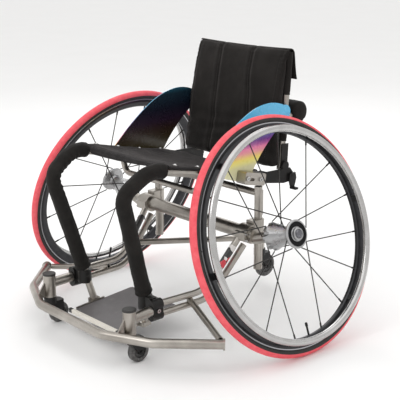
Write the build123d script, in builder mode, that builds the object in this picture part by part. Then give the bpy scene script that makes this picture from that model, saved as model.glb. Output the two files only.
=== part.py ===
from build123d import *
import math
import os

# A rigid court-sports wheelchair. Millimetres. +Z up, the chair faces -Y, +X is the sitter's left.
# The origin is on the floor, under the centre of the chair's bounding box.
# Left-hand pieces are modelled and mirrored about the YZ plane for the right-hand side.

os.makedirs("parts", exist_ok=True)

# Driving dimensions -----------------------------------------------------------------------------
AXLE_Y = 69.25  # the main axle line, behind the origin

# Main wheels
TYRE_R = 320.0
TYRE_TUBE_R = 12.5
TYRE_WALL = 2.2
CAMBER = 17.35  # degrees that each wheel leans inwards at the top
WHEEL_X = 359.0  # hub centre from the middle of the chair
RIM_R = 298.3
RIM_DEPTH = 26.8
RIM_HALF_WIDTH = 10.5
RIM_WALL = 1.8
HANDRIM_R = 279.0
HANDRIM_OUT = 32.0  # handrim plane, outboard of the rim plane
HANDRIM_TUBE_R = 9.5
HANDRIM_WALL = 1.4
HANDRIM_TABS = 6
FLANGE_R = 38.0
SPOKES_PER_FLANGE = 8
SPOKE_R = 1.55
AXLE_R = 6.35
RUNNING = 0.05  # radial clearance of a shaft in its bore

# Frame
AXLE_TUBE_R = 19.0
AXLE_TUBE_Z = 279.0
AXLE_TUBE_END = 238.0
RAIL_X = 174.0
RAIL_R = 12.5
RAIL_WALL = 1.6
RAIL_FRONT = (-240.0, 484.0)  # a point of the seat rail's axis: y from the axle, z
RAIL_SLOPE = 0.21  # fall of the seat towards the back
RAIL_END_Y = 85.0
POST_X = 216.0
POST_Y = 40.0
POST_R = 11.0
LOWER_R = 9.0
WING_Z = 85.0
WING_R = 12.5
STEM_X = 184.0
STEM_Y = -387.0
PAD_R = 21.0

# Backrest
BACK_PIVOT = (168.0, 437.0)  # y from the axle, z
BACK_LEAN = 0.086
CANE_R = 10.5
CANE_TOP = 748.0

# Casters
CASTER_R = 30.0
CASTER_TRAIL = 26.0
TAIL_Y = 262.0  # stem of the rear anti-tip caster
TAIL_R = 36.0
TAIL_WHEEL_Z = 66.0
TAIL_TRAIL = 23.0

# Derived ----------------------------------------------------------------------------------------
cos_c = math.cos(math.radians(CAMBER))
sin_c = math.sin(math.radians(CAMBER))
HUB = Vector(WHEEL_X, AXLE_Y, (TYRE_R - TYRE_TUBE_R) * cos_c + TYRE_TUBE_R)
WHEEL_AXIS = Vector(cos_c, 0, sin_c)
FORWARD = Vector(0, -1, 0)
SPIN = Axis(HUB, WHEEL_AXIS)
# In this plane x is the wheel's radius and y its axle, outwards.
WHEEL_SECTION = Plane(origin=HUB, x_dir=FORWARD, z_dir=(-sin_c, 0, cos_c))


def wheel_plane(out):
    """The plane square to the left wheel's axle, out millimetres outboard of the rim plane."""
    return Plane(origin=HUB + WHEEL_AXIS * out, x_dir=FORWARD, z_dir=WHEEL_AXIS)


def at(x, y, z):
    """A point given with y counted from the axle line."""
    return Vector(x, y + AXLE_Y, z)


def rail_z(y):
    """Height of the seat rail's axis, y from the axle line."""
    return RAIL_FRONT[1] - RAIL_SLOPE * (y - RAIL_FRONT[0])


def back_y(z):
    """The back cane's axis at a height, y from the axle line."""
    return BACK_PIVOT[0] + (z - BACK_PIVOT[1]) * BACK_LEAN


def save(shape, name):
    shape.label = name
    export_step(shape, f"parts/{name}.step")


def save_pair(shape, name):
    save(shape, f"{name}_left")
    save(mirror(shape, about=Plane.YZ), f"{name}_right")


def rod(points, radius, bends=()):
    """A solid round bar along straight runs with rounded corners."""
    with BuildPart() as bar:
        with BuildLine() as route:
            if bends:
                FilletPolyline(*points, radius=list(bends))
            else:
                Polyline(*points)
        with BuildSketch(Plane(origin=route.line @ 0, z_dir=route.line % 0)):
            Circle(radius)
        sweep()
    return bar.part


def tube(points, radius, wall, bends=()):
    """The same bar, bored out to a wall thickness."""
    with BuildPart() as pipe:
        add(rod(points, radius, bends))
        add(rod(points, radius - wall, bends), mode=Mode.SUBTRACT)
    return pipe.part


def both_sides(shape):
    with BuildPart() as pair:
        add(shape)
        mirror(about=Plane.YZ)
    return pair.part


def drum(x, y, low, high, radius):
    """An upright cylinder, y from the axle line."""
    with BuildPart() as made:
        with BuildSketch(Plane.XY.offset(low)):
            with Locations((x, y + AXLE_Y)):
                Circle(radius)
        extrude(amount=high - low)
    return made.part


# Main wheels ------------------------------------------------------------------------------------
with BuildPart() as tyre:
    with BuildSketch(WHEEL_SECTION):
        with Locations((TYRE_R - TYRE_TUBE_R, 0)):
            Circle(TYRE_TUBE_R)
            Circle(TYRE_TUBE_R - TYRE_WALL, mode=Mode.SUBTRACT)
        with Locations((RIM_R + 0.2 - TYRE_TUBE_R, 0)):
            Rectangle(2 * TYRE_TUBE_R, 3 * TYRE_TUBE_R, mode=Mode.SUBTRACT)
    revolve(axis=SPIN)
save_pair(tyre.part, "tyre")

VALVE_ANGLE = 92.0  # degrees round the wheel from straight ahead, so nearly at the bottom
VALVE_R = 2.8
RIM_BED = RIM_R - RIM_DEPTH
with BuildPart() as rim:
    with BuildSketch(WHEEL_SECTION):
        with BuildLine():
            Polyline(
                (RIM_R, RIM_HALF_WIDTH),
                (RIM_R - 10, RIM_HALF_WIDTH),
                (RIM_BED + 3, 6.5),
                (RIM_BED, 4),
                (RIM_BED, -4),
                (RIM_BED + 3, -6.5),
                (RIM_R - 10, -RIM_HALF_WIDTH),
                (RIM_R, -RIM_HALF_WIDTH),
                close=True,
            )
        make_face()
        offset(amount=-RIM_WALL, kind=Kind.INTERSECTION, mode=Mode.SUBTRACT)
    revolve(axis=SPIN)
save_pair(rim.part, "rim")

with BuildPart() as handrim:
    with BuildSketch(WHEEL_SECTION):
        with Locations((HANDRIM_R, HANDRIM_OUT)):
            Circle(HANDRIM_TUBE_R)
            Circle(HANDRIM_TUBE_R - HANDRIM_WALL, mode=Mode.SUBTRACT)
    revolve(axis=SPIN)
save_pair(handrim.part, "handrim")

# The tube valve, and the tabs that carry the handrim.
TAB_FIRST_ANGLE = 10.0
TAB_THICK = 3.5
TAB_WIDE = 18.0
TAB_RADIUS = RIM_BED + 3.2
TAB_ROOT = 7.8  # outboard of the rim plane, on the rim's sloping flank
TAB_REACH = 16.2
VALVE_LONG = 34.0
with BuildPart() as rim_fittings:
    valve_dir = Vector(math.cos(math.radians(VALVE_ANGLE)), math.sin(math.radians(VALVE_ANGLE)), 0)
    valve_root = wheel_plane(0).from_local_coords(valve_dir * (RIM_BED - 0.2))
    with BuildSketch(Plane(origin=valve_root, z_dir=HUB - valve_root)):
        Circle(VALVE_R)
    extrude(amount=VALVE_LONG)
    with BuildSketch(Plane(origin=valve_root, z_dir=HUB - valve_root).offset(VALVE_LONG - 10)):
        Circle(VALVE_R + 0.9)
    extrude(amount=8)
    with BuildSketch(wheel_plane(TAB_ROOT)):
        with PolarLocations(TAB_RADIUS, HANDRIM_TABS, start_angle=TAB_FIRST_ANGLE):
            Rectangle(TAB_THICK, TAB_WIDE)
    extrude(amount=TAB_REACH)
    add(handrim.part, mode=Mode.SUBTRACT)
save_pair(rim_fittings.part, "rim_fittings")

OUTER_FLANGE = 38.0  # flange planes along the axle
INNER_FLANGE = -45.0
HUB_ENDS = (-49.0, 43.5)
BEARING_R = 14.3
BEARING_WIDTH = 8.0
with BuildPart() as hub_shell:
    with BuildSketch(WHEEL_SECTION):
        with BuildLine():
            Polyline(
                (AXLE_R + 2.5, HUB_ENDS[0] + BEARING_WIDTH),
                (BEARING_R, HUB_ENDS[0] + BEARING_WIDTH),
                (BEARING_R, HUB_ENDS[0]),
                (24, HUB_ENDS[0]),
                (FLANGE_R, INNER_FLANGE - 3),
                (FLANGE_R, INNER_FLANGE + 3),
                (34, -32),
                (28, -14),
                (21, 8),
                (17.5, 22),
                (19, 30),
                (FLANGE_R - 2, OUTER_FLANGE - 3.5),
                (FLANGE_R, OUTER_FLANGE),
                (FLANGE_R, OUTER_FLANGE + 3.5),
                (FLANGE_R - 2, HUB_ENDS[1]),
                (33, HUB_ENDS[1]),
                (30, HUB_ENDS[1] - 3.5),
                (21.5, HUB_ENDS[1] - 3.5),
                (19, HUB_ENDS[1]),
                (BEARING_R, HUB_ENDS[1]),
                (BEARING_R, HUB_ENDS[1] - BEARING_WIDTH),
                (AXLE_R + 2.5, HUB_ENDS[1] - BEARING_WIDTH),
                close=True,
            )
        make_face()
    revolve(axis=SPIN)
    with BuildSketch(wheel_plane(HUB_ENDS[0] - 1)):
        with PolarLocations(FLANGE_R + 6, SPOKES_PER_FLANGE, start_angle=180 / SPOKES_PER_FLANGE):
            Circle(11)
    extrude(amount=34, mode=Mode.SUBTRACT)
save_pair(hub_shell.part, "hub_shell")

with BuildPart() as hub_bearings:
    for start in (HUB_ENDS[0], HUB_ENDS[1] - BEARING_WIDTH):
        with BuildSketch(wheel_plane(start + 0.1)):
            Circle(BEARING_R - 0.05)
            Circle(AXLE_R + RUNNING, mode=Mode.SUBTRACT)
        extrude(amount=BEARING_WIDTH - 0.2)
save_pair(hub_bearings.part, "hub_bearings")

SPOKE_GAP = 360 / SPOKES_PER_FLANGE
with BuildPart() as spokes:
    for flange, shift in ((OUTER_FLANGE, 0.25), (INNER_FLANGE, 0.75)):
        for number in range(SPOKES_PER_FLANGE):
            # Alternate spokes lead and trail, and the rim ends are evenly spaced about the valve.
            turn = 1 if number % 2 else -1
            tip_degrees = VALVE_ANGLE + SPOKE_GAP * (number + shift)
            root = math.radians(tip_degrees - turn * SPOKE_GAP)
            tip = math.radians(tip_degrees)
            start = wheel_plane(flange + 2.2 * turn).from_local_coords(
                Vector(math.cos(root), math.sin(root), 0) * (FLANGE_R + SPOKE_R + 0.3)
            )
            end = wheel_plane(2 * turn).from_local_coords(
                Vector(math.cos(tip), math.sin(tip), 0) * (RIM_BED - 0.5)
            )
            length = (end - start).length
            with BuildSketch(Plane(origin=start, z_dir=end - start)):
                Circle(SPOKE_R)
            extrude(amount=length)
            with BuildSketch(Plane(origin=end, z_dir=start - end)):
                Circle(SPOKE_R + 0.9)
            extrude(amount=12)
save_pair(spokes.part, "spokes")

AXLE_HEAD_R = 17.0
BUTTON_R = 12.0
AXLE_END = -110.0
with BuildPart() as quick_axle:
    with BuildSketch(WHEEL_SECTION):
        with BuildLine():
            Polyline(
                (0, AXLE_END),
                (AXLE_R - 1.5, AXLE_END),
                (AXLE_R, AXLE_END + 3),
                (AXLE_R, 44),
                (AXLE_HEAD_R, 44),
                (AXLE_HEAD_R, 48),
                (AXLE_HEAD_R - 1.5, 49.5),
                (BUTTON_R + 0.3, 49.5),
                (BUTTON_R + 0.3, 45.2),
                (3.1, 45.2),
                (3.1, 14),
                (0, 14),
                close=True,
            )
        make_face()
    revolve(axis=SPIN)
save_pair(quick_axle.part, "quick_release_axle")

with BuildPart() as axle_button:
    with BuildSketch(WHEEL_SECTION):
        with BuildLine():
            Polyline(
                (0, 18),
                (3, 18),
                (3, 48.6),
                (BUTTON_R, 48.6),
                (BUTTON_R, 51),
                (10, 53.8),
                (5.5, 55.8),
                (0, 56.5),
                close=True,
            )
        make_face()
    revolve(axis=SPIN)
save_pair(axle_button.part, "axle_button")

# Axle tube, camber plugs and clamps -------------------------------------------------------------
axle_core = rod([at(-AXLE_TUBE_END, 0, AXLE_TUBE_Z), at(AXLE_TUBE_END, 0, AXLE_TUBE_Z)], AXLE_TUBE_R)
axle_tube = tube(
    [at(-AXLE_TUBE_END, 0, AXLE_TUBE_Z), at(AXLE_TUBE_END, 0, AXLE_TUBE_Z)], AXLE_TUBE_R, 2.6
)
save(axle_tube, "axle_tube")

with BuildPart() as camber_plugs:
    with BuildSketch(Plane.YZ.offset(200)):
        with Locations((AXLE_Y, AXLE_TUBE_Z)):
            Circle(AXLE_TUBE_R - 2.65)
    extrude(amount=AXLE_TUBE_END - 199)
    with BuildSketch(Plane.YZ.offset(AXLE_TUBE_END + 0.2)):
        with Locations((AXLE_Y, AXLE_TUBE_Z)):
            Circle(AXLE_TUBE_R + 1.5)
    extrude(amount=9)
    with BuildSketch(wheel_plane(-124)):
        Circle(15)
    extrude(amount=74)
    with BuildSketch(wheel_plane(-112)):
        Circle(AXLE_R + RUNNING)
    extrude(amount=64, mode=Mode.SUBTRACT)
    with BuildSketch(Plane.YZ.offset(150)):
        with Locations((AXLE_Y, AXLE_TUBE_Z)):
            Circle(60)
            Circle(AXLE_TUBE_R - 2.65, mode=Mode.SUBTRACT)
    extrude(amount=AXLE_TUBE_END + 0.2 - 150, mode=Mode.SUBTRACT)
    mirror(about=Plane.YZ)
save(camber_plugs.part, "camber_plugs")

CLAMP_IN = 196.0
CLAMP_OUT = 235.0
CLAMP_R = 26.0
post_core = drum(POST_X, POST_Y, 100, 500, POST_R + 0.05)
with BuildPart() as axle_clamp:
    with BuildSketch(Plane.YZ.offset(CLAMP_IN)):
        with Locations((AXLE_Y, AXLE_TUBE_Z)):
            Circle(CLAMP_R)
        with Locations((AXLE_Y - CLAMP_R + 3, AXLE_TUBE_Z - 3)):
            RectangleRounded(14, 26, 4)
    extrude(amount=CLAMP_OUT - CLAMP_IN)
    with BuildSketch(Plane.XY.offset(AXLE_TUBE_Z - 26)):
        with Locations((POST_X, AXLE_Y + POST_Y)):
            Circle(16.5)
        with Locations((POST_X, AXLE_Y + 22)):
            RectangleRounded(30, 30, 4)
    extrude(amount=60)
    fillet(axle_clamp.edges().filter_by(GeomType.CIRCLE).group_by(Axis.Z)[-1], 2)
    add(axle_core, mode=Mode.SUBTRACT)
    add(post_core, mode=Mode.SUBTRACT)
clamp_hull = rod([at(CLAMP_IN, 0, AXLE_TUBE_Z), at(CLAMP_OUT, 0, AXLE_TUBE_Z)], CLAMP_R)
save(both_sides(axle_clamp.part), "axle_clamps")

# Seat rails that turn down into the legs --------------------------------------------------------
RAIL_ROUTE = [
    at(RAIL_X, RAIL_END_Y, rail_z(RAIL_END_Y)),
    at(170, -298, rail_z(-298)),
    at(158, -382, 440),
    at(137, -299, 150),
]
RAIL_BENDS = [80, 42]
rail_end = RAIL_ROUTE[0]
rail_back = (RAIL_ROUTE[0] - RAIL_ROUTE[1]).normalized()
rail_core = rod(RAIL_ROUTE, RAIL_R, RAIL_BENDS)
save_pair(tube(RAIL_ROUTE, RAIL_R, RAIL_WALL, RAIL_BENDS), "side_frame")

with BuildPart() as leg_pad:
    add(rod(RAIL_ROUTE, PAD_R, RAIL_BENDS))
    # The foam starts at the front of the seat and stops above the leg clamp.
    with BuildSketch(Plane.XZ.offset(-AXLE_Y + 252)):
        with Locations((RAIL_X, 400)):
            Rectangle(200, 700)
    extrude(amount=-700, mode=Mode.SUBTRACT)
    with BuildSketch(Plane.XY.offset(100)):
        with Locations((150, AXLE_Y - 300)):
            Rectangle(200, 200)
    extrude(amount=58, mode=Mode.SUBTRACT)
    add(rod(RAIL_ROUTE, RAIL_R + 0.1, RAIL_BENDS), mode=Mode.SUBTRACT)
save_pair(leg_pad.part, "leg_pad")

# Posts, brackets and cross tubes ----------------------------------------------------------------
POST_FOOT = 172.0
BRACKET_HALF = 17.0  # half the height of the bracket on the seat rail
POST_HEAD = rail_z(POST_Y) - BRACKET_HALF - 4
with BuildPart() as seat_post:
    add(tube([at(POST_X, POST_Y, POST_FOOT), at(POST_X, POST_Y, POST_HEAD)], POST_R, 1.8))
    add(drum(POST_X, POST_Y, POST_FOOT - 4, POST_FOOT + 6, POST_R + 1.4))
    for low, holes in ((POST_FOOT + 8, 4), (AXLE_TUBE_Z + 42, 5)):
        with BuildSketch(Plane.YZ.offset(POST_X - 1.25)):
            with Locations((AXLE_Y + POST_Y + POST_R + 2.5, low + holes * 7)):
                Rectangle(8, holes * 14)
                with GridLocations(0, 14, 1, holes):
                    Circle(2, mode=Mode.SUBTRACT)
        extrude(amount=2.5)
save(both_sides(seat_post.part), "seat_posts")

rail_dir = Vector(0, -1, RAIL_SLOPE).normalized()
# In this plane x runs forward along the seat rail and y squarely up from it.
RAIL_SIDE = Plane(origin=at(0, 0, rail_z(0)), x_dir=rail_dir, z_dir=(1, 0, 0))
BRACKET_IN = 193.6
BRACKET_OUT = 227.0
with BuildPart() as post_bracket:
    with BuildSketch(RAIL_SIDE.offset(BRACKET_IN)):
        with Locations((-18, 0)):
            RectangleRounded(78, 2 * BRACKET_HALF, 6)
    extrude(amount=BRACKET_OUT - BRACKET_IN)
    with BuildSketch(RAIL_SIDE.offset(RAIL_X + RAIL_R + 0.2)):
        with Locations((-50, 0)):
            RectangleRounded(14, 2 * BRACKET_HALF, 4)
    extrude(amount=BRACKET_IN - RAIL_X - RAIL_R)
    with BuildSketch(RAIL_SIDE.offset(BRACKET_OUT - 9)):
        with Locations((-2, 2)):
            SlotOverall(26, 8)
    extrude(amount=10, mode=Mode.SUBTRACT)
    # Pinch collar at the rear end of the rail.
    with BuildSketch(Plane(origin=at(RAIL_X, 68, rail_z(68)), z_dir=rail_dir)):
        Circle(RAIL_R + 4.5)
        with Locations((0, -RAIL_R - 8)):
            Rectangle(14, 16)
    extrude(amount=16)
    add(rod([RAIL_ROUTE[0], RAIL_ROUTE[1]], RAIL_R + 0.05), mode=Mode.SUBTRACT)
    add(drum(POST_X, POST_Y, 100, POST_HEAD + 0.1, POST_R + 3), mode=Mode.SUBTRACT)
save(both_sides(post_bracket.part), "post_brackets")

FRONT_CROSS_Y = -130.0
REAR_CROSS_Z = 385.0
rail_z_cross = rail_z(FRONT_CROSS_Y)
front_route = [
    at(173, FRONT_CROSS_Y, rail_z_cross - 4),
    at(152, FRONT_CROSS_Y, rail_z_cross - 55),
    at(-152, FRONT_CROSS_Y, rail_z_cross - 55),
    at(-173, FRONT_CROSS_Y, rail_z_cross - 4),
]
with BuildPart() as cross_tubes:
    add(tube(front_route, 8.5, 1.5, [26, 26]))
    add(tube([at(-POST_X, POST_Y, REAR_CROSS_Z), at(POST_X, POST_Y, REAR_CROSS_Z)], 9.5, 1.5))
    add(both_sides(rail_core), mode=Mode.SUBTRACT)
    add(both_sides(post_core), mode=Mode.SUBTRACT)
# Only the two tubes between the rails and posts stay, not the ends inside them.
cross_parts = cross_tubes.part.solids().sort_by(SortBy.VOLUME)[-2:]
save(Compound(children=list(cross_parts)), "cross_tubes")

# Lower rails, leg clamps and caster housings ----------------------------------------------------
UPPER_ROUTE = [at(203, -22, 268), at(187, -128, 138), at(180, -312, 139)]
UNDER_ROUTE = [at(203, -2, 244), at(187, -112, 112), at(180, -312, 110)]
LOWER_BEND = 90.0
upper_core = rod(UPPER_ROUTE, LOWER_R + 0.05, [LOWER_BEND])
under_core = rod(UNDER_ROUTE, LOWER_R + 0.05, [LOWER_BEND])
with BuildPart() as clamp_envelope:
    add(axle_clamp.part)
    add(clamp_hull)
with BuildPart() as lower_rails:
    add(tube(UPPER_ROUTE, LOWER_R, 1.5, [LOWER_BEND]))
    add(tube(UNDER_ROUTE, LOWER_R, 1.5, [LOWER_BEND]))
    add(clamp_envelope.part, mode=Mode.SUBTRACT)
    mirror(about=Plane.YZ)
save(lower_rails.part, "lower_rails")

with BuildPart() as rail_wraps:
    wrap_from = UPPER_ROUTE[0] + (UPPER_ROUTE[1] - UPPER_ROUTE[0]) * 0.16
    wrap_to = UPPER_ROUTE[0] + (UPPER_ROUTE[1] - UPPER_ROUTE[0]) * 0.56
    add(tube([wrap_from, wrap_to], LOWER_R + 0.9, 0.8))
    mirror(about=Plane.YZ)
save(rail_wraps.part, "rail_wraps")

leg_low = RAIL_ROUTE[3]
FOOT_TUBE_END = at(117, -284, 69)
save(both_sides(tube([leg_low, FOOT_TUBE_END], 10, 1.6)), "footrest_tubes")

with BuildPart() as leg_clamp:
    with BuildSketch(Plane.XY.offset(117)):
        with Locations((137.5, AXLE_Y - 298)):
            Circle(19)
        with Locations((158, AXLE_Y - 299)):
            RectangleRounded(34, 22, 5)
    extrude(amount=38)
    with BuildSketch(Plane.XZ.offset(-AXLE_Y + 281)):
        with Locations((180, 139), (180, 110)):
            Circle(LOWER_R + 5.5)
        with Locations((178.5, 124.5)):
            Rectangle(26, 30)
    extrude(amount=34)
    add(rail_core, mode=Mode.SUBTRACT)
    add(rod([leg_low, FOOT_TUBE_END], 10.05), mode=Mode.SUBTRACT)
    add(upper_core, mode=Mode.SUBTRACT)
    add(under_core, mode=Mode.SUBTRACT)
save(both_sides(leg_clamp.part), "leg_clamps")

WING_ROUTE = [
    at(401, -255, WING_Z),
    at(274, -385, WING_Z),
    at(140, -447, WING_Z),
    at(-140, -447, WING_Z),
    at(-274, -385, WING_Z),
    at(-401, -255, WING_Z),
]
WING_BENDS = [70, 80, 80, 70]
wing_core = rod(WING_ROUTE, WING_R, WING_BENDS)
with BuildPart() as wing_tube:
    add(tube(WING_ROUTE, WING_R, 1.8, WING_BENDS))
    tip = WING_ROUTE[0]
    with BuildSketch(Plane(origin=tip, z_dir=WING_ROUTE[1] - tip)):
        Circle(WING_R + 2.6)
    collar = extrude(amount=5)
    mirror(collar, about=Plane.YZ)
save(wing_tube.part, "wing_tube")

HOUSING_LOW = 83.0
HOUSING_HIGH = 146.0
STEM_R = 10.0
with BuildPart() as caster_housing:
    add(drum(STEM_X, STEM_Y, HOUSING_LOW, HOUSING_HIGH, 17.5))
    add(rod([at(180, -316, 124), at(STEM_X, STEM_Y, 120)], 14))
    with BuildSketch(Plane.YZ.offset(STEM_X - 2.5)):
        with BuildLine():
            Polyline(
                (AXLE_Y + STEM_Y - 8, HOUSING_LOW + 1),
                (AXLE_Y + STEM_Y - 8, HOUSING_HIGH - 6),
                (AXLE_Y + STEM_Y - 40, WING_Z + 9),
                (AXLE_Y + STEM_Y - 40, HOUSING_LOW + 1),
                close=True,
            )
        make_face()
    extrude(amount=5)
    add(drum(STEM_X, STEM_Y, HOUSING_LOW - 1, HOUSING_HIGH + 1, STEM_R + RUNNING), mode=Mode.SUBTRACT)
    add(wing_core, mode=Mode.SUBTRACT)
    add(leg_clamp.part, mode=Mode.SUBTRACT)
    add(upper_core, mode=Mode.SUBTRACT)
    add(under_core, mode=Mode.SUBTRACT)
housing_solid = caster_housing.part.solids().sort_by(SortBy.VOLUME)[-1]
save(both_sides(housing_solid), "caster_housings")

with BuildPart() as housing_caps:
    with BuildSketch(Plane.XY.offset(HOUSING_HIGH + 0.2)):
        with Locations((STEM_X, AXLE_Y + STEM_Y)):
            Circle(18.5)
    extrude(amount=5.5)
    fillet(housing_caps.edges().group_by(Axis.Z)[-1], 2)
    mirror(about=Plane.YZ)
save(housing_caps.part, "housing_caps")

with BuildPart() as wing_braces:
    add(tube([at(182, -182, 124), at(378, -250, 88)], 8.5, 1.5))
    add(wing_core, mode=Mode.SUBTRACT)
    add(upper_core, mode=Mode.SUBTRACT)
    add(under_core, mode=Mode.SUBTRACT)
brace_solid = wing_braces.part.solids().sort_by(SortBy.VOLUME)[-1]
save(both_sides(brace_solid), "wing_braces")

# Front casters ----------------------------------------------------------------------------------
FORK_GAP = 10.5
FORK_LEG = 4.5


def fork(x, y, trail, wheel_z, radius, top, stem_top, stem_r):
    """A swivel fork: stem, crown and two legs that hold the wheel behind the stem."""
    crown = wheel_z + radius + 2.5
    with BuildPart() as made:
        add(drum(x, y, crown, stem_top, stem_r))
        add(drum(x, y, crown, top, stem_r + 8))
        with BuildSketch(Plane.XY.offset(crown)):
            with Locations((x, AXLE_Y + y + trail / 2)):
                RectangleRounded(2 * (FORK_GAP + FORK_LEG), trail + 24, 8)
        extrude(amount=6)
        for side in (-1, 1):
            inner = x + side * FORK_GAP
            with BuildSketch(Plane.YZ.offset(min(inner, inner + side * FORK_LEG))):
                with BuildLine():
                    Polyline(
                        (AXLE_Y + y - 8, crown + 6),
                        (AXLE_Y + y - 8, crown - 2),
                        (AXLE_Y + y + trail - 9, wheel_z),
                        (AXLE_Y + y + trail + 9, wheel_z),
                        (AXLE_Y + y + trail + 9, crown + 6),
                        close=True,
                    )
                make_face()
                with Locations((AXLE_Y + y + trail, wheel_z)):
                    Circle(9)
            extrude(amount=FORK_LEG)
        # The wheel's bolt is fixed in the fork.
        with BuildSketch(Plane.YZ.offset(x - FORK_GAP - FORK_LEG - 3)):
            with Locations((AXLE_Y + y + trail, wheel_z)):
                Circle(4)
        extrude(amount=2 * (FORK_GAP + FORK_LEG + 3))
    return made.part


def roller(x, y, wheel_z, inner, outer, width):
    """A plain wheel ring with rounded shoulders, turning about X."""
    with BuildPart() as made:
        with BuildSketch(Plane.YZ.offset(x - width / 2)):
            with Locations((AXLE_Y + y, wheel_z)):
                Circle(outer)
                Circle(inner, mode=Mode.SUBTRACT)
        extrude(amount=width)
        round_edges = made.edges().filter_by(GeomType.CIRCLE)
        rims = round_edges.filter_by(lambda edge: abs(edge.radius - outer) < 0.01)
        fillet(rims, width * 0.3)
    return made.part


caster_fork = fork(
    STEM_X, STEM_Y, CASTER_TRAIL, CASTER_R, CASTER_R, HOUSING_LOW - 0.5, HOUSING_HIGH - 2, STEM_R
)
caster_y = STEM_Y + CASTER_TRAIL
save_pair(caster_fork, "caster_fork")
save_pair(roller(STEM_X, caster_y, CASTER_R, 18, CASTER_R, 19), "caster_tyre")
save_pair(roller(STEM_X, caster_y, CASTER_R, 4.05, 17.95, 17), "caster_hub")

# Footplate --------------------------------------------------------------------------------------
FOOT_FRONT = (-362.0, 58.0)
FOOT_REAR = (-158.0, 76.0)
foot_dir = Vector(0, FOOT_REAR[0] - FOOT_FRONT[0], FOOT_REAR[1] - FOOT_FRONT[1])
FOOT_LENGTH = foot_dir.length
FOOT_HALF = 103.0
FOOT_THICK = 5.0
# x is across the plate and y runs back along it, on its upper face.
FOOT_PLANE = Plane(
    origin=at(0, *FOOT_FRONT), x_dir=(1, 0, 0), z_dir=Vector(1, 0, 0).cross(foot_dir)
)
with BuildPart() as footplate:
    with BuildSketch(FOOT_PLANE.offset(-FOOT_THICK)):
        with Locations((0, FOOT_LENGTH / 2)):
            RectangleRounded(2 * FOOT_HALF, FOOT_LENGTH, 9)
    extrude(amount=FOOT_THICK)
save(footplate.part, "footplate")

with BuildPart() as footplate_edge:
    with BuildSketch(FOOT_PLANE.offset(-FOOT_THICK - 2)):
        with Locations((0, -5)):
            RectangleRounded(2 * FOOT_HALF + 30, 9.4, 3)
    extrude(amount=FOOT_THICK + 6)
    fillet(footplate_edge.edges().group_by(Axis.Z)[-1], 1.2)
save(footplate_edge.part, "footplate_edge")

with BuildPart() as footplate_hangers:
    with BuildSketch(FOOT_PLANE.offset(-FOOT_THICK - 1)):
        with Locations((FOOT_HALF + 2.8, 58)):
            Rectangle(5, 96)
    extrude(amount=FOOT_THICK + 4)
    with BuildSketch(FOOT_PLANE.offset(-FOOT_THICK - 1)):
        with Locations((FOOT_HALF + 13, 78)):
            RectangleRounded(24, 30, 6)
    extrude(amount=FOOT_THICK + 7)
    add(rod([leg_low, FOOT_TUBE_END + (FOOT_TUBE_END - leg_low) * 0.2], 10.05), mode=Mode.SUBTRACT)
    mirror(about=Plane.YZ)
save(footplate_hangers.part, "footplate_hangers")

# Seat sling and side guards ---------------------------------------------------------------------
# The sling lies over both rails and dips a little between them, with an apron at the front.
# In this plane x is across the chair and y squarely up from the rails.
SLING_FRONT_Y = -250.0
SLING_REAR_Y = 95.0
SLING_HALF = 186.2
SLING_REAR_HALF = 154.0
SLING_SECTION = Plane(
    origin=at(0, SLING_FRONT_Y, rail_z(SLING_FRONT_Y)), x_dir=(1, 0, 0), z_dir=rail_dir
)
SLING_TOP = RAIL_R + 7.0
SLING_SAG = 7.0
with BuildPart() as seat_sling:
    with BuildSketch(SLING_SECTION):
        with BuildLine():
            top_arc = ThreePointArc(
                (-SLING_HALF, SLING_TOP), (0, SLING_TOP - SLING_SAG), (SLING_HALF, SLING_TOP)
            )
            low = RAIL_R + 0.7
            Line(top_arc @ 1, (SLING_HALF, low))
            Line((SLING_HALF, low), (RAIL_X - 20, low))
            ThreePointArc(
                (RAIL_X - 20, low), (0, SLING_TOP - SLING_SAG - 9), (-RAIL_X + 20, low)
            )
            Line((-RAIL_X + 20, low), (-SLING_HALF, low))
            Line((-SLING_HALF, low), top_arc @ 0)
        make_face()
    extrude(amount=-(SLING_REAR_Y - SLING_FRONT_Y))
    with BuildSketch(SLING_SECTION.offset(-3)):
        with BuildLine():
            ThreePointArc((-150, 15), (0, 8), (150, 15))
            Polyline((150, 15), (138, -2), (0, -7), (-138, -2), (-150, 15))
        make_face()
    extrude(amount=8)
    # Behind the rails' collars only the middle of the sling carries on.
    with BuildSketch(Plane.XY.offset(380)):
        with Locations((200, AXLE_Y + 102), (-200, AXLE_Y + 102)):
            Rectangle(2 * (200 - SLING_REAR_HALF), 100)
    extrude(amount=120, mode=Mode.SUBTRACT)
save(seat_sling.part, "seat_sling")

GUARD_IN = 189.6
GUARD_THICK = 3.2
with BuildPart() as side_guard:
    with BuildSketch(Plane.YZ.offset(GUARD_IN)):
        with BuildLine():
            front_edge = Spline(
                (AXLE_Y - 152, 466),
                (AXLE_Y - 118, 499),
                (AXLE_Y - 42, 563),
                (AXLE_Y + 40, 610),
                (AXLE_Y + 105, 622),
                (AXLE_Y + 160, 610),
            )
            tip = ThreePointArc(
                front_edge @ 1, (AXLE_Y + 185, 592), (AXLE_Y + 172, 570)
            )
            rear_edge = Spline(
                tip @ 1, (AXLE_Y + 118, 532), (AXLE_Y + 58, 468), (AXLE_Y + 20, 412)
            )
            Polyline(rear_edge @ 1, (AXLE_Y - 60, 436), front_edge @ 0)
        make_face()
    extrude(amount=GUARD_THICK)
save(both_sides(side_guard.part), "side_guards")

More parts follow.
